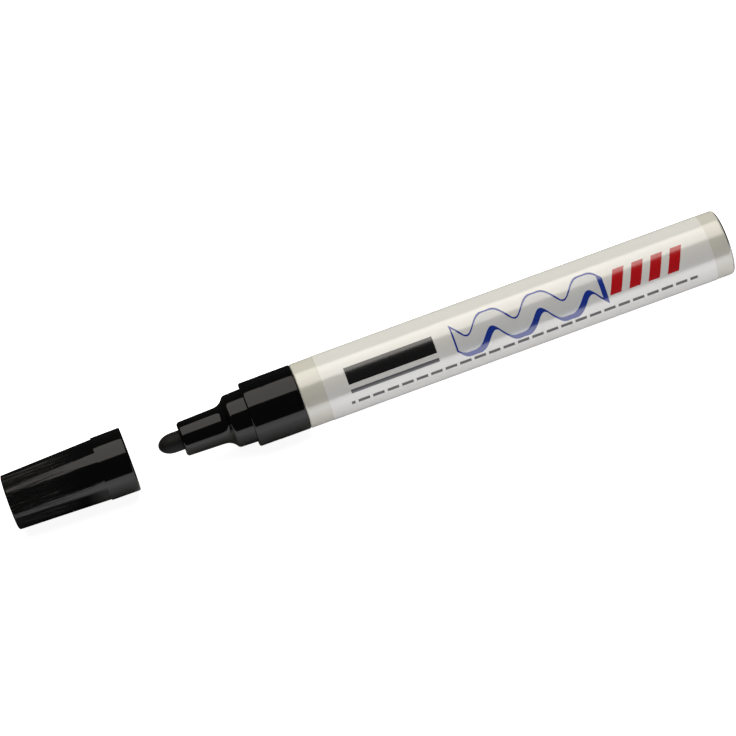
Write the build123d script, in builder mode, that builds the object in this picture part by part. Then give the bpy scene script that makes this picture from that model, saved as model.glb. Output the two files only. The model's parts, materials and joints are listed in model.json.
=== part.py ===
from build123d import *
import math
import os

os.makedirs("parts", exist_ok=True)

# A valve-action paint marker lies on its side along X, with its nib towards -X.
# Its cap lies pulled off in front of the nib. Sizes are in millimetres.
# The origin is on the floor, under the middle of marker and cap together.

# Barrel: a drawn aluminium can with a closed rear end
barrel_diameter = 14.5
barrel_length = 97.5
barrel_wall = 0.4
barrel_base_thickness = 0.9
barrel_rear_radius = 0.75
barrel_inner_radius = 0.6
barrel_lip_radius = 0.35

# Label: a printed film wrapped round the barrel, short of both ends
label_thickness = 0.05
label_clearance = 0.01
label_front_margin = 5.2
label_rear_margin = 4.2

# Nib: a felt rod with a bullet tip, which slides in the nose
nib_diameter = 4.4
nib_exposed = 5.2
nib_tip_length = 3.3
nib_rear_chamfer = 0.3
nib_clearance = 0.1
nib_travel = 2.0

# Front section outside: nose, concave flare, seat for the cap, collar
nose_length = 8.5
nose_taper = 0.25
nose_edge_radius = 0.7
flare_length = 2.6
flare_rise = 1.8
flare_corner_radius = 1.0
seat_length = 4.2
seat_taper = 0.15
collar_ledge = 1.15
collar_length = 11.7
collar_front_inset = 0.1
collar_rear_inset = 0.02
collar_step = 0.03
collar_step_offset = 4.75
collar_front_edge_radius = 0.45
collar_rear_edge_radius = 0.35

# Front section inside: nib guide, paint space behind it, bore for the valve, plug in the barrel
nib_guide_length = 11.8
paint_space_length = 5.0
valve_shoulder = 0.8
plug_length = 10.0
plug_clearance = 0.05

# Gasket: a square ring in a groove round the plug
gasket_offset = 3.0
gasket_width = 1.6
gasket_clearance = 0.02

# Valve body: a sleeve with a recess for the nib, a hole for the rod and a conical seat
valve_clearance = 0.05
valve_body_length = 9.5
nib_recess_margin = 1.0
nib_recess_clearance = 1.0
nib_rear_gap = 1.0
rod_hole_length = 2.0

# Valve rod and its seal: fluted stem, head, and a tail inside the spring
stem_diameter = 2.6
stem_gap = 0.3
stem_flute_count = 4
stem_flute_width = 0.8
stem_flute_depth = 0.6
contact_gap = 0.02
seal_gap = 0.07
seal_overlap = 0.9
seal_rim = 0.6
seal_inset = 0.1
seal_clearance = 0.02
head_gap = 0.5
head_thickness = 1.2
tail_diameter = 2.4
tail_overhang = 1.0

# Spring and the cage that holds it
spring_wire = 0.45
spring_gap = 0.3
spring_turns = 7
cage_end_thickness = 1.2
cage_flange_thickness = 1.0
cage_flange_inset = 0.6
tail_clearance = 0.2
port_count = 6
port_diameter = 1.1

# Mixing ball, loose on the barrel's inside wall
ball_diameter = 6.0
ball_clearance = 0.05
ball_rest_gap = 3.0

# Cap outside: a plain band at the mouth, then a tapered body with wide shallow flutes between rounded ridges
cap_gap = 6.5
cap_length = 27.2
cap_mouth_inset = 0.05
cap_band_length = 6.5
cap_band_taper = 0.07
cap_step = 0.2
cap_taper = 0.63
cap_end_radius = 0.7
cap_end_margin = 0.05
cap_mouth_radius = 0.3
flute_count = 7
flute_radius = 20.0
flute_front_depth = 0.28
flute_rear_depth = 0.5
flute_turn = 32.5
ridge_front_radius = 2.0
ridge_rear_radius = 1.9

# Cap inside: a bore over the seat, a funnel, a bore for the inner cap and a hollow behind it
cap_seat_clearance = 0.12
cap_seat_margin = 0.4
cap_funnel_length = 3.0
cap_funnel_step = 0.35
cap_end_wall = 1.6
cap_hollow_length = 3.3
cap_ledge = 0.45

# Inner cap: a liner that closes over nose and nib
nose_clearance = 0.15
nose_margin = 0.7
inner_cap_wall = 0.8
inner_cap_narrowing = 1.0
inner_cap_clearance = 0.05

# The share of its wall that an edge's rounding may take at most
edge_limit = 0.9

# Places along X, from the cap's closed end to the barrel's rear
marker_length = nib_exposed + nose_length + flare_length + seat_length + collar_length + barrel_length
overall_length = cap_length + cap_gap + marker_length
cap_end_x = -overall_length / 2
cap_mouth_x = cap_end_x + cap_length
nib_tip_x = cap_mouth_x + cap_gap
nose_front_x = nib_tip_x + nib_exposed
flare_front_x = nose_front_x + nose_length
seat_front_x = flare_front_x + flare_length
collar_front_x = seat_front_x + seat_length
collar_step_x = collar_front_x + collar_step_offset
barrel_front_x = collar_front_x + collar_length
barrel_rear_x = barrel_front_x + barrel_length
barrel_base_x = barrel_rear_x - barrel_base_thickness
label_front_x = barrel_front_x + label_front_margin
label_rear_x = barrel_rear_x - label_rear_margin

# Places of the valve along X
paint_space_x = nose_front_x + nib_guide_length
valve_front_x = paint_space_x + paint_space_length
valve_rear_x = valve_front_x + valve_body_length
plug_rear_x = barrel_front_x + plug_length
gasket_front_x = barrel_front_x + gasket_offset
gasket_rear_x = gasket_front_x + gasket_width
nib_rear_x = valve_front_x - nib_rear_gap
nib_recess_x = valve_front_x + nib_travel + nib_recess_margin
valve_seat_x = nib_recess_x + rod_hole_length

# Radii of the valve, from the rod outwards to its chamber
stem_radius = stem_diameter / 2
tail_radius = tail_diameter / 2
rod_hole_radius = stem_radius + stem_gap
seal_radius = rod_hole_radius + seal_overlap
head_radius = seal_radius + seal_inset
chamber_radius = head_radius + head_gap

# Radii from the label inwards; plug and valve body divide the room between barrel and chamber evenly
barrel_radius = barrel_diameter / 2
label_bore_radius = barrel_radius + label_clearance
label_radius = label_bore_radius + label_thickness
barrel_bore_radius = barrel_radius - barrel_wall
plug_radius = barrel_bore_radius - plug_clearance
valve_bore_radius = (plug_radius + chamber_radius) / 2
valve_radius = valve_bore_radius - valve_clearance
gasket_groove_radius = (plug_radius + valve_bore_radius) / 2
paint_space_radius = valve_bore_radius - valve_shoulder

# Radii of collar, seat, nose and nib
collar_front_radius = barrel_radius - collar_front_inset
collar_rear_radius = barrel_radius - collar_rear_inset
seat_rear_radius = collar_front_radius - collar_ledge
seat_front_radius = seat_rear_radius - seat_taper
nose_rear_radius = seat_front_radius - flare_rise
nose_front_radius = nose_rear_radius - nose_taper
nib_radius = nib_diameter / 2
nib_bore_radius = nib_radius + nib_clearance
nib_recess_radius = nib_radius + nib_recess_clearance
collar_slope = (collar_rear_radius - collar_step - collar_front_radius) / collar_length
collar_step_radius = collar_front_radius + collar_slope * collar_step_offset

# Places of rod and seal, with a seat cone of 45 degrees, then spring and cage
valve_seat_length = chamber_radius - rod_hole_radius
seal_front_x = valve_seat_x + seal_gap
seal_rim_x = seal_front_x + seal_overlap
head_front_x = seal_rim_x + seal_rim
head_rear_x = head_front_x + head_thickness
stem_front_x = nib_rear_x + contact_gap
cage_rear_x = plug_rear_x + cage_flange_thickness
cage_wall_x = cage_rear_x - cage_end_thickness
cage_flange_radius = plug_radius - cage_flange_inset
tail_rear_x = cage_rear_x + tail_overhang
spring_radius = tail_radius + spring_gap + spring_wire / 2
spring_front_x = head_rear_x + spring_wire / 2 + contact_gap
spring_rear_x = cage_wall_x - spring_wire / 2 - contact_gap
spring_pitch = (spring_rear_x - spring_front_x) / spring_turns
port_circle_radius = (spring_radius + spring_wire / 2 + chamber_radius) / 2

# Radii and places of the cap
cap_mouth_outer_radius = collar_front_radius - cap_mouth_inset
cap_band_rear_radius = cap_mouth_outer_radius - cap_band_taper
cap_body_radius = cap_band_rear_radius - cap_step
cap_rear_radius = cap_body_radius - cap_taper
cap_band_x = cap_mouth_x - cap_band_length
cap_seat_bore_radius = seat_rear_radius + cap_seat_clearance
inner_cap_bore_radius = nose_rear_radius + nose_clearance
inner_cap_radius = inner_cap_bore_radius + inner_cap_wall
inner_cap_tip_radius = inner_cap_radius - inner_cap_narrowing
cap_bore_radius = inner_cap_radius + inner_cap_clearance
cap_bore_tip_radius = inner_cap_tip_radius + inner_cap_clearance
cap_hollow_radius = cap_bore_tip_radius - cap_ledge
cap_funnel_x = cap_mouth_x - seat_length - cap_seat_margin
inner_cap_lip_x = cap_funnel_x - cap_funnel_length
nose_reach = seat_length + flare_length + nose_length
inner_cap_cone_x = cap_mouth_x - nose_reach - nose_margin
cap_hollow_x = cap_end_x + cap_end_wall
inner_cap_end_x = cap_hollow_x + cap_hollow_length
inner_cap_floor_x = inner_cap_end_x + inner_cap_wall

# Roundings of edges, limited by their walls
barrel_lip_rounding = min(barrel_lip_radius, edge_limit * barrel_wall)
collar_rear_rounding = min(collar_rear_edge_radius, edge_limit * (collar_rear_radius - plug_radius))
nose_edge_rounding = min(nose_edge_radius, edge_limit * (nose_front_radius - nib_bore_radius))

# The marker's axis is as high as its widest round, the label, so that it rests on the floor
axis_height = label_radius
spin_axis = Axis((0, 0, axis_height), (1, 0, 0))
profile_plane = Plane(origin=(0, 0, axis_height), x_dir=(1, 0, 0), z_dir=(0, -1, 0))


def section_plane(x):
    """Plane across the axis at x, with Y to its right and Z up."""
    return Plane(origin=(x, 0, axis_height), x_dir=(0, 1, 0), z_dir=(1, 0, 0))


def corner(profile, x, radius):
    """The corner of a profile that is nearest to a place along the axis and a radius."""
    return profile.vertices().sort_by_distance((x, radius))[0]


def polar(distance, angle):
    """The point at a distance from the middle of a section, in a direction given in degrees."""
    return (distance * math.cos(math.radians(angle)), distance * math.sin(math.radians(angle)))


def fluted_outline(radius, depth, ridge_radius):
    """Draws a round with flutes as a closed chain of arcs, each of which runs smoothly into the next.

    A ridge's rounding is limited by the room between two flutes.
    """
    pitch = 360 / flute_count
    half_pitch = math.radians(pitch / 2)
    flute_middle = radius - depth + flute_radius
    flute_reach = flute_middle * math.cos(half_pitch)
    room = radius**2 + flute_middle**2 - 2 * radius * flute_reach - flute_radius**2
    room = room / (2 * (flute_radius + radius - flute_reach))
    rounding = min(ridge_radius, edge_limit * room)
    rounding_middle = radius - rounding
    reach = flute_radius + rounding
    cosine = (rounding_middle**2 + flute_middle**2 - reach**2) / (2 * rounding_middle * flute_middle)
    ridge_angle = math.degrees(math.acos(cosine))
    wall_angle = math.degrees(math.asin(rounding_middle * math.sin(math.radians(ridge_angle)) / reach))
    turn = ridge_angle + wall_angle
    for flute in range(flute_count):
        angle = flute_turn + flute * pitch
        next_angle = angle + pitch
        CenterArc(polar(flute_middle, angle), flute_radius, angle + 180 - wall_angle, 2 * wall_angle)
        CenterArc(polar(rounding_middle, angle + ridge_angle), rounding, angle - wall_angle, turn)
        CenterArc((0, 0), radius, angle + ridge_angle, pitch - 2 * ridge_angle)
        CenterArc(polar(rounding_middle, next_angle - ridge_angle), rounding, next_angle - ridge_angle, turn)


# Barrel
with BuildPart() as barrel:
    with BuildSketch(profile_plane) as profile:
        with BuildLine():
            Polyline(
                (barrel_front_x, barrel_bore_radius),
                (barrel_front_x, barrel_radius),
                (barrel_rear_x, barrel_radius),
                (barrel_rear_x, 0),
                (barrel_base_x, 0),
                (barrel_base_x, barrel_bore_radius),
                close=True,
            )
        make_face()
        fillet(corner(profile, barrel_front_x, barrel_radius), barrel_lip_rounding)
        fillet(corner(profile, barrel_rear_x, barrel_radius), barrel_rear_radius)
        fillet(corner(profile, barrel_base_x, barrel_bore_radius), barrel_inner_radius)
    revolve(axis=spin_axis)
barrel.part.label = "barrel"
export_step(barrel.part, "parts/barrel.step")

# Label film
with BuildPart() as label_film:
    with BuildSketch(section_plane(label_front_x)):
        Circle(label_radius)
        Circle(label_bore_radius, mode=Mode.SUBTRACT)
    extrude(amount=label_rear_x - label_front_x)
label_film.part.label = "label_film"
export_step(label_film.part, "parts/label_film.step")

# Front section
with BuildPart() as front_section:
    with BuildSketch(profile_plane) as profile:
        with BuildLine():
            Polyline(
                (nose_front_x, nib_bore_radius),
                (nose_front_x, nose_front_radius),
                (flare_front_x, nose_rear_radius),
            )
            TangentArc(
                (flare_front_x, nose_rear_radius),
                (seat_front_x, seat_front_radius),
                tangent=(nose_length, nose_taper),
            )
            Polyline(
                (seat_front_x, seat_front_radius),
                (collar_front_x, seat_rear_radius),
                (collar_front_x, collar_front_radius),
                (collar_step_x, collar_step_radius),
                (collar_step_x, collar_step_radius + collar_step),
                (barrel_front_x, collar_rear_radius),
                (barrel_front_x, plug_radius),
                (gasket_front_x, plug_radius),
                (gasket_front_x, gasket_groove_radius),
                (gasket_rear_x, gasket_groove_radius),
                (gasket_rear_x, plug_radius),
                (plug_rear_x, plug_radius),
                (plug_rear_x, valve_bore_radius),
                (valve_front_x, valve_bore_radius),
                (valve_front_x, paint_space_radius),
                (paint_space_x, paint_space_radius),
                (paint_space_x, nib_bore_radius),
                (nose_front_x, nib_bore_radius),
            )
        make_face()
        fillet(corner(profile, nose_front_x, nose_front_radius), nose_edge_rounding)
        fillet(corner(profile, seat_front_x, seat_front_radius), flare_corner_radius)
        fillet(corner(profile, collar_front_x, collar_front_radius), collar_front_edge_radius)
        fillet(corner(profile, barrel_front_x, collar_rear_radius), collar_rear_rounding)
    revolve(axis=spin_axis)
front_section.part.label = "front_section"
export_step(front_section.part, "parts/front_section.step")

# Barrel gasket
with BuildPart() as barrel_gasket:
    with BuildSketch(section_plane(gasket_front_x + gasket_clearance)):
        Circle(barrel_bore_radius - gasket_clearance)
        Circle(gasket_groove_radius + gasket_clearance, mode=Mode.SUBTRACT)
    extrude(amount=gasket_width - 2 * gasket_clearance)
barrel_gasket.part.label = "barrel_gasket"
export_step(barrel_gasket.part, "parts/barrel_gasket.step")

# Nib
with BuildPart() as nib:
    with BuildSketch(profile_plane):
        with BuildLine():
            EllipticalCenterArc(
                (nib_tip_x + nib_tip_length, 0), nib_tip_length, nib_radius, start_angle=90, arc_size=90
            )
            Polyline(
                (nib_tip_x + nib_tip_length, nib_radius),
                (nib_rear_x - nib_rear_chamfer, nib_radius),
                (nib_rear_x, nib_radius - nib_rear_chamfer),
                (nib_rear_x, 0),
                (nib_tip_x, 0),
            )
        make_face()
    revolve(axis=spin_axis)
nib.part.label = "nib"
export_step(nib.part, "parts/nib.step")

# Valve body
with BuildPart() as valve_body:
    with BuildSketch(profile_plane):
        with BuildLine():
            Polyline(
                (valve_front_x, nib_recess_radius),
                (valve_front_x, valve_radius),
                (valve_rear_x, valve_radius),
                (valve_rear_x, chamber_radius),
                (valve_seat_x + valve_seat_length, chamber_radius),
                (valve_seat_x, rod_hole_radius),
                (nib_recess_x, rod_hole_radius),
                (nib_recess_x, nib_recess_radius),
                close=True,
            )
        make_face()
    revolve(axis=spin_axis)
valve_body.part.label = "valve_body"
export_step(valve_body.part, "parts/valve_body.step")

# Valve rod
with BuildPart() as valve_rod:
    with BuildSketch(profile_plane):
        with BuildLine():
            Polyline(
                (stem_front_x, 0),
                (stem_front_x, stem_radius),
                (head_front_x, stem_radius),
                (head_front_x, head_radius),
                (head_rear_x, head_radius),
                (head_rear_x, tail_radius),
                (tail_rear_x, tail_radius),
                (tail_rear_x, 0),
                close=True,
            )
        make_face()
    revolve(axis=spin_axis)
    with BuildSketch(section_plane(stem_front_x)):
        with PolarLocations(stem_radius, stem_flute_count):
            Rectangle(2 * stem_flute_depth, stem_flute_width)
    extrude(amount=seal_front_x - stem_front_x, mode=Mode.SUBTRACT)
valve_rod.part.label = "valve_rod"
export_step(valve_rod.part, "parts/valve_rod.step")

# Valve seal
with BuildPart() as valve_seal:
    with BuildSketch(profile_plane):
        with BuildLine():
            Polyline(
                (seal_front_x, stem_radius + seal_clearance),
                (seal_front_x, rod_hole_radius),
                (seal_rim_x, seal_radius),
                (head_front_x, seal_radius),
                (head_front_x, stem_radius + seal_clearance),
                close=True,
            )
        make_face()
    revolve(axis=spin_axis)
valve_seal.part.label = "valve_seal"
export_step(valve_seal.part, "parts/valve_seal.step")

# Valve spring
with BuildPart() as valve_spring:
    with BuildLine() as coil:
        Helix(
            pitch=spring_pitch,
            height=spring_rear_x - spring_front_x,
            radius=spring_radius,
            center=(spring_front_x, 0, axis_height),
            direction=(1, 0, 0),
        )
    with BuildSketch(Plane(origin=coil.line @ 0, z_dir=coil.line % 0)):
        Circle(spring_wire / 2)
    sweep(is_frenet=True)
valve_spring.part.label = "valve_spring"
export_step(valve_spring.part, "parts/valve_spring.step")

# Spring cage
with BuildPart() as spring_cage:
    with BuildSketch(profile_plane):
        with BuildLine():
            Polyline(
                (valve_rear_x, chamber_radius),
                (valve_rear_x, valve_radius),
                (plug_rear_x, valve_radius),
                (plug_rear_x, cage_flange_radius),
                (cage_rear_x, cage_flange_radius),
                (cage_rear_x, tail_radius + tail_clearance),
                (cage_wall_x, tail_radius + tail_clearance),
                (cage_wall_x, chamber_radius),
                close=True,
            )
        make_face()
    revolve(axis=spin_axis)
    with BuildSketch(section_plane(cage_wall_x)):
        with PolarLocations(port_circle_radius, port_count):
            Circle(port_diameter / 2)
    extrude(amount=cage_end_thickness, mode=Mode.SUBTRACT)
spring_cage.part.label = "spring_cage"
export_step(spring_cage.part, "parts/spring_cage.step")

# Mixing ball
ball_radius = ball_diameter / 2
ball_x = barrel_base_x - ball_rest_gap - ball_radius
ball_z = axis_height - barrel_bore_radius + ball_clearance + ball_radius
with BuildPart() as mixing_ball:
    with Locations((ball_x, 0, ball_z)):
        Sphere(ball_radius)
mixing_ball.part.label = "mixing_ball"
export_step(mixing_ball.part, "parts/mixing_ball.step")

# Cap shell
cap_end_outer_radius = cap_rear_radius + cap_end_margin
with BuildPart() as cap_shell:
    with BuildSketch(section_plane(cap_band_x)):
        with BuildLine():
            fluted_outline(cap_body_radius, flute_front_depth, ridge_front_radius)
        make_face()
    with BuildSketch(section_plane(cap_end_x)):
        with BuildLine():
            fluted_outline(cap_rear_radius, flute_rear_depth, ridge_rear_radius)
        make_face()
    loft()
    with BuildSketch(profile_plane) as profile:
        with BuildLine():
            Polyline(
                (cap_end_x, 0),
                (cap_end_x, cap_end_outer_radius),
                (cap_band_x, cap_body_radius + cap_end_margin),
                (cap_band_x, 0),
                close=True,
            )
        make_face()
        fillet(corner(profile, cap_end_x, cap_end_outer_radius), cap_end_radius)
    revolve(axis=spin_axis, mode=Mode.INTERSECT)
    with BuildSketch(profile_plane) as profile:
        with BuildLine():
            Polyline(
                (cap_band_x, 0),
                (cap_band_x, cap_band_rear_radius),
                (cap_mouth_x, cap_mouth_outer_radius),
                (cap_mouth_x, 0),
                close=True,
            )
        make_face()
        fillet(corner(profile, cap_mouth_x, cap_mouth_outer_radius), cap_mouth_radius)
    revolve(axis=spin_axis)
    with BuildSketch(profile_plane):
        with BuildLine():
            Polyline(
                (cap_hollow_x, 0),
                (cap_hollow_x, cap_hollow_radius),
                (inner_cap_end_x, cap_hollow_radius),
                (inner_cap_end_x, cap_bore_tip_radius),
                (inner_cap_cone_x, cap_bore_radius),
                (inner_cap_lip_x, cap_bore_radius),
                (inner_cap_lip_x, cap_bore_radius + cap_funnel_step),
                (cap_funnel_x, cap_seat_bore_radius),
                (cap_mouth_x, cap_seat_bore_radius),
                (cap_mouth_x, 0),
                close=True,
            )
        make_face()
    revolve(axis=spin_axis, mode=Mode.SUBTRACT)
cap_shell.part.label = "cap_shell"
export_step(cap_shell.part, "parts/cap_shell.step")

# Inner cap
with BuildPart() as inner_cap:
    with BuildSketch(profile_plane):
        with BuildLine():
            Polyline(
                (inner_cap_lip_x, inner_cap_bore_radius),
                (inner_cap_lip_x, inner_cap_radius),
                (inner_cap_cone_x, inner_cap_radius),
                (inner_cap_end_x, inner_cap_tip_radius),
                (inner_cap_end_x, 0),
                (inner_cap_floor_x, 0),
                (inner_cap_floor_x, inner_cap_tip_radius - inner_cap_wall),
                (inner_cap_cone_x, inner_cap_bore_radius),
                close=True,
            )
        make_face()
    revolve(axis=spin_axis)
inner_cap.part.label = "inner_cap"
export_step(inner_cap.part, "parts/inner_cap.step")
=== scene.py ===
import json
import math

import bpy
from mathutils import Color, Matrix, Vector


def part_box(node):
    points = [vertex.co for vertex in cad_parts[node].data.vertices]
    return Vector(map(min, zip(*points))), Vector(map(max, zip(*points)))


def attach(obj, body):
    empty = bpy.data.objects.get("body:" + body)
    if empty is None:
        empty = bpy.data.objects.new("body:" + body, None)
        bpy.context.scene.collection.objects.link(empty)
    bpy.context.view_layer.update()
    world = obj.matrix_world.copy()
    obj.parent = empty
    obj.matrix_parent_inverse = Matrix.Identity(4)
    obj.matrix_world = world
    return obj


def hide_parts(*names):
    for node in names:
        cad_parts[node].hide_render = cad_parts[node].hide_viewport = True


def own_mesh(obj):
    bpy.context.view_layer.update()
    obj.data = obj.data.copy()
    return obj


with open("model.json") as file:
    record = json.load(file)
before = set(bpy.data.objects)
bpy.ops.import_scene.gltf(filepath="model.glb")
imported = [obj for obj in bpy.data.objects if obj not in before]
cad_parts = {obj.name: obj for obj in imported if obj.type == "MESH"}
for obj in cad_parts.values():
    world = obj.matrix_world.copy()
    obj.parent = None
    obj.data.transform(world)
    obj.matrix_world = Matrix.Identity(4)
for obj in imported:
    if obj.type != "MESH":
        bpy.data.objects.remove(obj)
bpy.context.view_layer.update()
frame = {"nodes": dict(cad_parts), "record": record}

nodes = frame["nodes"]
axis_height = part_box("label_film")[1].z / 2
film_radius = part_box("label_film")[1].y
film_front, film_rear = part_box("label_film")[0].x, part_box("label_film")[1].x
barrel_rear, barrel_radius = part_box("barrel")[1].x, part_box("barrel")[1].y

# How the photograph was taken: distances in metres, angles in degrees
view_distance = 0.650
view_elevation = 48.0
view_depth_tilt = 3.7
view_turn = 20.1
view_width = 0.158
view_rise = 0.0007
view_nearest = 0.01
facing_angle = 180.0 - view_elevation

# The lamps, slightly warm, the dim room, and the white that the camera sees: places and sizes in metres
top_place, top_size = (0.0, 0.104, 0.59), (0.85, 0.585)
top_radiance = 1.45
top_tint = (1.0, 0.96, 0.9)
fill_place, fill_size = (0.0, 0.4, 0.55), (0.5, 0.6)
fill_radiance = 3.1
fill_tint = (1.0, 0.985, 0.95)
room_strength = 0.03
full_white = (1.0, 1.0, 1.0, 1.0)

# The floor: its reach in metres, its paint, its slightly cool glow, and what is added to the glow in diffuse
# light and to the camera
floor_reach = 3.0
floor_paint = (0.6, 0.6, 0.6, 1.0)
floor_tint = (0.96, 0.97, 1.045, 1.0)
floor_glow = 0.8
floor_fill = 0.5
floor_shown = 0.93

# Where the floor's glow sets in beside the marker, leaving a painted shadow along it, and where its
# reflection is darkened by the cap as a painted shadow, in metres
painted_shadow_fade_from, painted_shadow_fade_to = 0.005, 0.03
cap_shade_from, cap_shade_to = 0.009, 0.018
cap_shade_start, cap_shade_end = -0.061, -0.067
# The colour of the painted dark reflection behind the marker and of the painted shadow near the cap
painted_dark_colour = (0.02, 0.02, 0.02, 1.0)

# The print on the film, in millimetres along the marker and round it; 0 round is where the camera looks
mm_per_metre = 1000.0
print_softness = 0.06
bar_middle, bar_half = (4.5, -0.6), (10.0, 1.9)
rule_middle, rule_half = (4.5, 2.9), (10.0, 0.45)
wave_start, wave_end = 19.0, 52.0
wave_height = 1.9
wave_length = 11.0
wave_half_width = 1.7
wave_outline = 0.4
wave_shade = (0.7, 0.8)
slash_start, slash_pitch, slash_count = 56.0, 4.4, 4
slash_half_width = 1.3
slash_half_height = 2.6
slash_slant = 0.45
dash_round = 5.7
dash_half_height = 0.4
dash_pitch = 3.3
dash_half_length = 1.3
dash_end_margin = 4.5

# Colours as the eye sees them, from 0 to the brightest; a material with two shades varies between them
brightest = 255
ivory_shades = (222, 220, 207), (227, 225, 213)
metal_grey = (190, 191, 193)
film_shades = (239, 238, 232), (244, 243, 238)
bar_black = (16, 15, 15)
rule_grey = (96, 96, 98)
wave_blue = (18, 52, 156)
wave_grey = (222, 223, 222)
slash_red = (200, 8, 20)
dash_black = (34, 33, 34)
black_shades = (4, 4, 4), (8, 8, 8)
natural_shades = (222, 221, 214), (233, 232, 226)
liner_shades = (24, 24, 25), (34, 34, 35)
felt_shades = (7, 6, 6), (17, 15, 14)
rubber_shades = (34, 34, 35), (52, 52, 53)
steel_shades = (196, 197, 200), (216, 217, 219)

# How often lines, streaks and fibres repeat along, across and up, per metre
lacquer_rates = (60.0, 2600.0, 2600.0)
streak_rates = (110.0, 1700.0, 1700.0)
fibre_rates = (900.0, 4200.0, 4200.0)
wire_rates = (900.0, 3000.0, 3000.0)
ball_rates = (2400.0, 2400.0, 2400.0)

# A noise's roughness and middle value, and how strong a moulding's grain is beside its waviness
noise_roughness = 0.55
noise_middle = 0.5
grain_share = 0.15

# Where the cap is worn from handling, in metres along the marker, how much rougher it gets, and how high its
# streaks stand, as a multiple of its ripple
worn_start, worn_end = -0.0605, -0.073
worn_roughness = 0.2
streak_height = 44.0

# Where the barrel's metal is bare round its rear edge, in metres from its rear end and in from its outside
bare_from, bare_to = 0.0005, 0.0003
rim_from, rim_to = 0.0008, 0.0006

# The valve's spring, in metres, and the steps and sides of its wire's mesh
wire_radius = 0.000225
spring_turns = 7
steps_per_turn = 48
wire_sides = 12


def colour(shade):
    """A colour as the eye sees it, turned into linear light."""
    seen = Color([value / brightest for value in shade])
    return (*seen.from_srgb_to_scene_linear(), 1.0)


class Graph:
    """A material's nodes, built step by step. Values and sockets can be mixed freely as inputs."""

    def __init__(self, name):
        self.material = bpy.data.materials.new(name)
        self.material.use_nodes = True
        self.tree = self.material.node_tree
        self.tree.nodes.clear()
        self.output = self.tree.nodes.new("ShaderNodeOutputMaterial")

    def node(self, kind, **settings):
        made = self.tree.nodes.new(kind)
        for name, value in settings.items():
            setattr(made, name, value)
        return made

    def put(self, socket, value):
        if isinstance(value, bpy.types.NodeSocket):
            self.tree.links.new(value, socket)
        else:
            socket.default_value = value

    def step(self, kind, *values, **settings):
        """The first output of a new node, with the values put into its first inputs."""
        made = self.node(kind, **settings)
        for socket, value in zip(made.inputs, values):
            self.put(socket, value)
        return made.outputs[0]

    def math(self, operation, first, second=0.0, third=0.0):
        return self.step("ShaderNodeMath", first, second, third, operation=operation)

    def largest(self, first, *others):
        for other in others:
            first = self.math("MAXIMUM", first, other)
        return first

    def mix(self, factor, first, second):
        """A colour between two. The node has sockets for each kind of data, and these are for colours."""
        made = self.node("ShaderNodeMix", data_type="RGBA")
        self.put(made.inputs[0], factor)
        self.put(made.inputs[6], first)
        self.put(made.inputs[7], second)
        return made.outputs[2]

    def shaded(self, factor, shades):
        return self.mix(factor, colour(shades[0]), colour(shades[1]))

    def spread(self, value, low, high):
        """Maps a value from 0 to 1 onto low to high."""
        made = self.node("ShaderNodeMapRange")
        self.put(made.inputs["Value"], value)
        self.put(made.inputs["To Min"], low)
        self.put(made.inputs["To Max"], high)
        return made.outputs[0]

    def place(self):
        """The point on the surface in metres, in the part's own frame."""
        return self.node("ShaderNodeTexCoord").outputs["Object"]

    def along_across_up(self):
        """The three parts of the point on the surface, in metres."""
        made = self.node("ShaderNodeSeparateXYZ")
        self.put(made.inputs[0], self.place())
        return tuple(made.outputs)

    def stretched(self, rates):
        """The point scaled by a rate in each direction: a noise is drawn out where the rate is low."""
        made = self.node("ShaderNodeMapping")
        self.put(made.inputs["Vector"], self.place())
        made.inputs["Scale"].default_value = rates
        return made.outputs[0]

    def noise(self, scale=1.0, detail=3.0, vector=None):
        made = self.node("ShaderNodeTexNoise")
        self.put(made.inputs["Vector"], vector or self.place())
        made.inputs["Scale"].default_value = scale
        made.inputs["Detail"].default_value = detail
        made.inputs["Roughness"].default_value = noise_roughness
        return made.outputs["Fac"]

    def lines(self, rates, detail=3.0):
        return self.noise(detail=detail, vector=self.stretched(rates))

    def bump(self, height, distance):
        made = self.node("ShaderNodeBump")
        made.inputs["Distance"].default_value = distance
        self.put(made.inputs["Height"], height)
        return made.outputs[0]

    def ramp(self, value, start, end):
        """0 before a start, 1 beyond an end, and a soft change between; the end may lie below the start."""
        made = self.node("ShaderNodeMapRange", interpolation_type="SMOOTHSTEP")
        self.put(made.inputs["Value"], value)
        made.inputs["From Min"].default_value = start
        made.inputs["From Max"].default_value = end
        return made.outputs[0]

    def inside(self, distance):
        """1 where a distance in millimetres is below 0, 0 where it is above, with a print's soft edge."""
        return self.ramp(distance, print_softness, -print_softness)

    def off(self, value, middle, half):
        """How far a value lies outside a stretch of some half length round its middle; below 0 inside."""
        return self.math("SUBTRACT", self.math("ABSOLUTE", self.math("SUBTRACT", value, middle)), half)

    def off_row(self, value, start, pitch, half):
        """How far a value lies outside the nearest of many stretches, repeated at a pitch from a start."""
        nearest = self.math("WRAP", self.math("SUBTRACT", value, start), pitch / 2, -pitch / 2)
        return self.off(nearest, 0.0, half)

    def rectangle(self, along, round_axis, middle, half):
        beyond_ends = self.off(along, middle[0], half[0])
        beyond_sides = self.off(round_axis, middle[1], half[1])
        return self.inside(self.largest(beyond_ends, beyond_sides))

    def surface(self, **inputs):
        """Finishes the material with one shader, whose inputs are given by name."""
        shader = self.node("ShaderNodeBsdfPrincipled")
        for name, value in inputs.items():
            self.put(shader.inputs[name.replace("_", " ")], value)
        self.tree.links.new(shader.outputs[0], self.output.inputs["Surface"])
        return self.material


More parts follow.
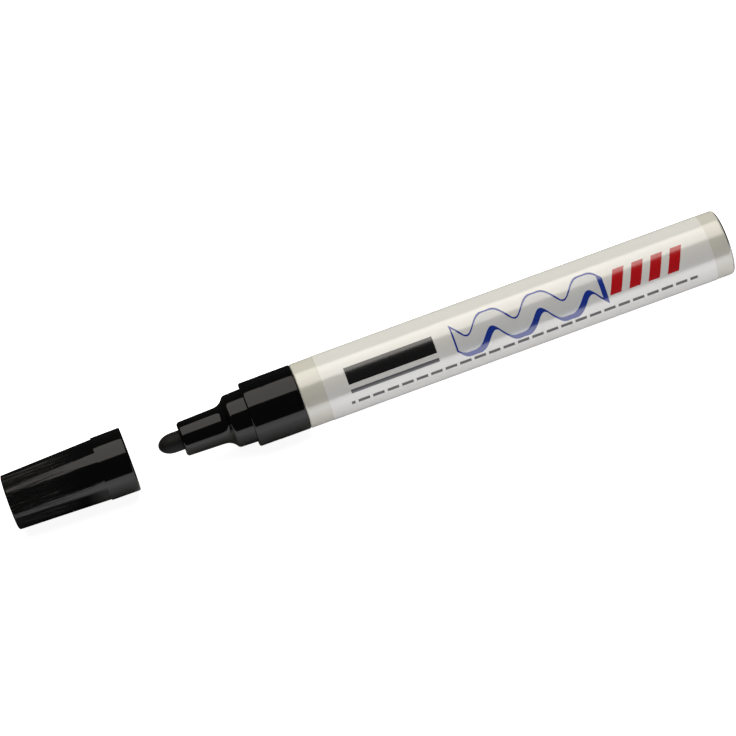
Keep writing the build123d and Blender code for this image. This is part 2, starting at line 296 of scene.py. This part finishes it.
def moulded(name, shades, rough, ripple, worn=0.0, streaked=0.0):
    """A moulded plastic, slightly cloudy and wavy, with uneven gloss; a worn cap is dull and streaked."""
    graph = Graph(name)
    cloud = graph.noise(scale=260.0)
    grain = graph.noise(scale=2600.0, detail=2.0)
    wave = graph.noise(scale=420.0, detail=1.0)
    relief = graph.math("MULTIPLY_ADD", grain, grain_share, wave)
    dull = graph.ramp(graph.along_across_up()[0], worn_start, worn_end)
    streaks = graph.math("SUBTRACT", graph.lines(streak_rates), noise_middle)
    relief = graph.math("MULTIPLY_ADD", graph.math("MULTIPLY", dull, streaks), streaked, relief)
    gloss = graph.spread(graph.noise(scale=700.0), *rough)
    return graph.surface(
        Base_Color=graph.shaded(cloud, shades),
        Roughness=graph.math("MULTIPLY_ADD", dull, worn, gloss),
        Normal=graph.bump(relief, ripple),
    )


def lacquer():
    """Ivory lacquer over drawn aluminium with fine lines along it; the metal is bare round the rear edge."""
    graph = Graph("ivory lacquer")
    lines = graph.lines(lacquer_rates)
    along, across, up = graph.along_across_up()
    height = graph.math("SUBTRACT", up, axis_height)
    square = graph.math("MULTIPLY_ADD", height, height, graph.math("MULTIPLY", across, across))
    at_rim = graph.ramp(graph.math("SQRT", square), barrel_radius - rim_from, barrel_radius - rim_to)
    at_end = graph.ramp(along, barrel_rear - bare_from, barrel_rear - bare_to)
    bare = graph.math("MINIMUM", at_end, at_rim)
    ivory = graph.shaded(graph.noise(scale=180.0), ivory_shades)
    return graph.surface(
        Base_Color=graph.mix(bare, ivory, colour(metal_grey)),
        Roughness=graph.spread(lines, low=0.16, high=0.24),
        Normal=graph.bump(lines, distance=0.000003),
        Metallic=graph.spread(bare, low=0.06, high=1.0),
        IOR=2.25,
    )


def wave_distance(graph, along, round_axis):
    """Distance from a wavy ribbon's edge, below 0 inside it."""
    rate = 2 * math.pi / wave_length
    angle = graph.math("MULTIPLY", graph.math("SUBTRACT", along, wave_start), rate)
    middle = graph.math("MULTIPLY", graph.math("SINE", angle), wave_height)
    slope = graph.math("MULTIPLY", graph.math("COSINE", angle), wave_height * rate)
    length = graph.math("SQRT", graph.math("MULTIPLY_ADD", slope, slope, 1.0))
    away = graph.math("ABSOLUTE", graph.math("SUBTRACT", round_axis, middle))
    beside = graph.math("SUBTRACT", graph.math("DIVIDE", away, length), wave_half_width)
    beyond = graph.off(along, (wave_start + wave_end) / 2, (wave_end - wave_start) / 2)
    return graph.largest(beside, beyond)


def printed_film():
    """Glossy off-white film with a plain print: bar and rule, wavy ribbon, slanted bars and a dashed line."""
    graph = Graph("printed film")
    along, across, up = graph.along_across_up()
    along = graph.math("MULTIPLY", along, mm_per_metre)
    angle = graph.math("ARCTAN2", graph.math("SUBTRACT", up, axis_height), across)
    turned = graph.math("SUBTRACT", angle, math.radians(facing_angle))
    turned = graph.math("WRAP", turned, math.pi, -math.pi)
    round_axis = graph.math("MULTIPLY", turned, mm_per_metre * film_radius)

    bar = graph.rectangle(along, round_axis, bar_middle, bar_half)
    rule = graph.rectangle(along, round_axis, rule_middle, rule_half)

    ribbon = wave_distance(graph, along, round_axis)
    outline = graph.inside(graph.math("SUBTRACT", ribbon, wave_outline))
    fill = graph.inside(ribbon)
    shade_along = graph.math("SUBTRACT", along, wave_shade[0])
    shade_round = graph.math("SUBTRACT", round_axis, wave_shade[1])
    shade = wave_distance(graph, shade_along, shade_round)
    shade = graph.inside(graph.math("SUBTRACT", shade, wave_outline))

    slanted = graph.math("MULTIPLY_ADD", round_axis, slash_slant, along)
    slash_middle = slash_start + (slash_count - 1) * slash_pitch / 2
    slash_ends = graph.off(slanted, slash_middle, slash_count * slash_pitch / 2)
    slash_row = graph.off_row(slanted, slash_start, slash_pitch, slash_half_width)
    slash_sides = graph.off(round_axis, 0.0, slash_half_height)
    slash = graph.inside(graph.largest(slash_ends, slash_row, slash_sides))

    dash_middle = mm_per_metre * (film_front + film_rear) / 2
    dash_reach = mm_per_metre * (film_rear - film_front) / 2 - dash_end_margin
    dash_ends = graph.off(along, dash_middle, dash_reach)
    dash_row = graph.off_row(along, 0.0, dash_pitch, dash_half_length)
    dash_sides = graph.off(round_axis, dash_round, dash_half_height)
    dash = graph.inside(graph.largest(dash_ends, dash_row, dash_sides))

    layers = (
        (bar, bar_black),
        (rule, rule_grey),
        (shade, wave_blue),
        (outline, wave_blue),
        (fill, wave_grey),
        (slash, slash_red),
        (dash, dash_black),
    )
    shown = graph.shaded(graph.noise(scale=220.0), film_shades)
    for layer, ink in layers:
        shown = graph.mix(layer, shown, colour(ink))
    printed = graph.largest(bar, rule, shade, outline, slash, dash)
    grain = graph.noise(scale=1800.0, detail=2.0)
    return graph.surface(
        Base_Color=shown,
        Metallic=graph.spread(printed, low=0.06, high=0.0),
        Roughness=graph.spread(grain, low=0.15, high=0.21),
        Normal=graph.bump(grain, distance=0.000002),
        IOR=2.2,
    )


def felt():
    """Paint-soaked felt: short fibres along the nib, dark and dry at the surface."""
    graph = Graph("soaked felt")
    fibres = graph.lines(fibre_rates, detail=4.0)
    clumps = graph.noise(scale=1300.0)
    return graph.surface(
        Base_Color=graph.shaded(fibres, felt_shades),
        Roughness=graph.spread(clumps, low=0.45, high=0.7),
        Normal=graph.bump(graph.math("ADD", fibres, clumps), distance=0.00006),
        Sheen_Weight=0.08,
        Specular_IOR_Level=0.3,
    )


def rubber():
    """Matt black rubber with a fine moulded grain."""
    graph = Graph("seal rubber")
    grain = graph.noise(scale=3200.0)
    return graph.surface(
        Base_Color=graph.shaded(grain, rubber_shades),
        Roughness=graph.spread(grain, low=0.62, high=0.8),
        Normal=graph.bump(grain, distance=0.00001),
    )


def steel(name, rates, rough):
    """Bright steel with fine marks, which repeat at a rate in each direction."""
    graph = Graph(name)
    marks = graph.lines(rates)
    return graph.surface(
        Base_Color=graph.shaded(marks, steel_shades),
        Metallic=1.0,
        Roughness=graph.spread(marks, *rough),
        Normal=graph.bump(marks, distance=0.000002),
    )


black_gloss = moulded(
    "black gloss",
    black_shades,
    rough=(0.06, 0.11),
    ripple=0.000004,
    worn=worn_roughness,
    streaked=streak_height,
)
materials = {
    "barrel_lacquer": lacquer(),
    "label_film": printed_film(),
    "black_gloss": black_gloss,
    "nib_felt": felt(),
    "valve_plastic": moulded("natural moulding", natural_shades, rough=(0.38, 0.5), ripple=0.00001),
    "seal_rubber": rubber(),
    "spring_steel": steel("drawn wire", wire_rates, rough=(0.22, 0.34)),
    "ball_steel": steel("polished ball", ball_rates, rough=(0.06, 0.12)),
    "liner_plastic": moulded("satin liner", liner_shades, rough=(0.3, 0.42), ripple=0.00001),
}
for subpart in frame["record"]["subparts"]:
    node = nodes[subpart["node"]]
    node.data.materials.clear()
    node.data.materials.append(materials[subpart["material_slot"]])


def spring():
    """The valve's spring as a wound wire."""
    low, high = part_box("valve_spring")
    radius = high.y - wire_radius
    start, end = low.x + wire_radius, high.x - wire_radius
    steps = steps_per_turn * spring_turns
    slope = math.atan2((end - start) / spring_turns, 2 * math.pi * radius)
    points, faces = [], []
    for step in range(steps + 1):
        angle = 2 * math.pi * spring_turns * step / steps
        outward = Vector((0, math.cos(angle), math.sin(angle)))
        sideways = Vector((1, 0, 0)) * math.cos(slope)
        sideways -= Vector((0, -math.sin(angle), math.cos(angle))) * math.sin(slope)
        middle = Vector((start + (end - start) * step / steps, 0, axis_height)) + outward * radius
        for side in range(wire_sides):
            turn = 2 * math.pi * side / wire_sides
            points.append(middle + (outward * math.cos(turn) + sideways * math.sin(turn)) * wire_radius)
    for step in range(steps):
        for side in range(wire_sides):
            this = step * wire_sides + side
            beside = step * wire_sides + (side + 1) % wire_sides
            faces.append((this, beside, beside + wire_sides, this + wire_sides))
    faces.append(tuple(range(wire_sides)))
    faces.append(tuple(steps * wire_sides + side for side in reversed(range(wire_sides))))
    mesh = bpy.data.meshes.new("spring_coil")
    mesh.from_pydata(points, [], faces)
    mesh.shade_smooth()
    mesh.materials.append(materials["spring_steel"])
    made = bpy.data.objects.new("spring_coil", mesh)
    bpy.context.scene.collection.objects.link(made)
    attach(made, "marker")
    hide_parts("valve_spring")
    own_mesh(made)


def camera():
    """The photograph's camera: it looks at the part's middle, and its roll lays the marker at view_turn."""
    depth = math.sin(math.radians(view_depth_tilt))
    height = math.sin(math.radians(view_elevation))
    back = Vector((-depth, -math.sqrt(1 - depth**2 - height**2), height))
    along = (Vector((1, 0, 0)) - back * back.x).normalized()
    across = back.cross(along)
    turn = math.radians(view_turn)
    right = along * math.cos(turn) - across * math.sin(turn)
    up = along * math.sin(turn) + across * math.cos(turn)
    made = bpy.data.objects.new("camera", bpy.data.cameras.new("camera"))
    made.data.lens = made.data.sensor_width * view_distance / view_width
    made.data.clip_start = view_nearest
    place = Vector((0, 0, axis_height)) + across * view_rise + back * view_distance
    made.matrix_world = Matrix.Translation(place) @ Matrix((right, up, back)).transposed().to_4x4()
    bpy.context.scene.collection.objects.link(made)
    bpy.context.scene.camera = made


def softbox(name, place, size, radiance, tint, mirrored):
    """A flat rectangular lamp that faces the middle of the part; glossy surfaces mirror it or not."""
    lamp = bpy.data.lights.new(name, "AREA")
    lamp.shape = "RECTANGLE"
    lamp.color = tint
    lamp.size, lamp.size_y = size
    lamp.energy = radiance * math.pi * size[0] * size[1]
    made = bpy.data.objects.new(name, lamp)
    made.location = place
    made.rotation_euler = Vector(place).to_track_quat("Z", "Y").to_euler()
    made.visible_glossy = mirrored
    bpy.context.scene.collection.objects.link(made)


def floor_white():
    """White to the camera, pale and glowing to the part with a painted shadow beside it, and with painted
    dark reflections behind it and near the cap.
    """
    graph = Graph("floor white")
    along, across = graph.along_across_up()[:2]
    beside = graph.math("ABSOLUTE", across)
    ray = graph.node("ShaderNodeLightPath").outputs
    # The glow is faint close to the marker and full further out: a painted shadow beside it
    strength = graph.math("MULTIPLY", graph.ramp(beside, painted_shadow_fade_from, painted_shadow_fade_to), floor_glow)
    strength = graph.math("MULTIPLY_ADD", ray["Is Diffuse Ray"], floor_fill, strength)
    strength = graph.math("MULTIPLY_ADD", ray["Is Camera Ray"], floor_shown, strength)
    tint = graph.mix(ray["Is Camera Ray"], floor_tint, full_white)
    glow = graph.step("ShaderNodeEmission", tint, strength)
    paint = graph.step("ShaderNodeBsdfDiffuse", floor_paint)
    lit = graph.step("ShaderNodeAddShader", paint, glow)
    painted_dark_floor = graph.step("ShaderNodeBsdfDiffuse", painted_dark_colour)
    # In reflections the floor is painted dark behind the marker, and close to the cap's body as a painted
    # shadow
    behind = graph.math("GREATER_THAN", across, 0.0)
    painted_cap_shadow = graph.ramp(beside, cap_shade_to, cap_shade_from)
    painted_cap_shadow = graph.math("MULTIPLY", painted_cap_shadow, graph.ramp(along, cap_shade_start, cap_shade_end))
    dark = graph.math("MULTIPLY", graph.largest(behind, painted_cap_shadow), ray["Is Glossy Ray"])
    chosen = graph.step("ShaderNodeMixShader", dark, lit, painted_dark_floor)
    graph.put(graph.output.inputs["Surface"], chosen)
    return graph.material


def floor():
    """The plain floor that the part lies on."""
    mesh = bpy.data.meshes.new("floor")
    corners = [(x * floor_reach, y * floor_reach, 0) for x, y in ((-1, -1), (1, -1), (1, 1), (-1, 1))]
    mesh.from_pydata(corners, [], [(0, 1, 2, 3)])
    mesh.materials.append(floor_white())
    made = bpy.data.objects.new("floor", mesh)
    bpy.context.scene.collection.objects.link(made)


def room():
    """A dim room: dark in reflections, white where the camera sees past the floor."""
    world = bpy.data.worlds.new("room")
    bpy.context.scene.world = world
    world.use_nodes = True
    tree = world.node_tree
    background = tree.nodes["Background"]
    ray = tree.nodes.new("ShaderNodeLightPath")
    shade = tree.nodes.new("ShaderNodeMapRange")
    shade.inputs["To Min"].default_value = room_strength
    tree.links.new(ray.outputs["Is Camera Ray"], shade.inputs["Value"])
    tree.links.new(shade.outputs[0], background.inputs["Strength"])
    background.inputs["Color"].default_value = full_white


spring()
camera()
softbox("top softbox", top_place, top_size, top_radiance, top_tint, mirrored=True)
softbox("fill softbox", fill_place, fill_size, fill_radiance, fill_tint, mirrored=False)
floor()
room()
bpy.context.scene.view_settings.view_transform = "Standard"
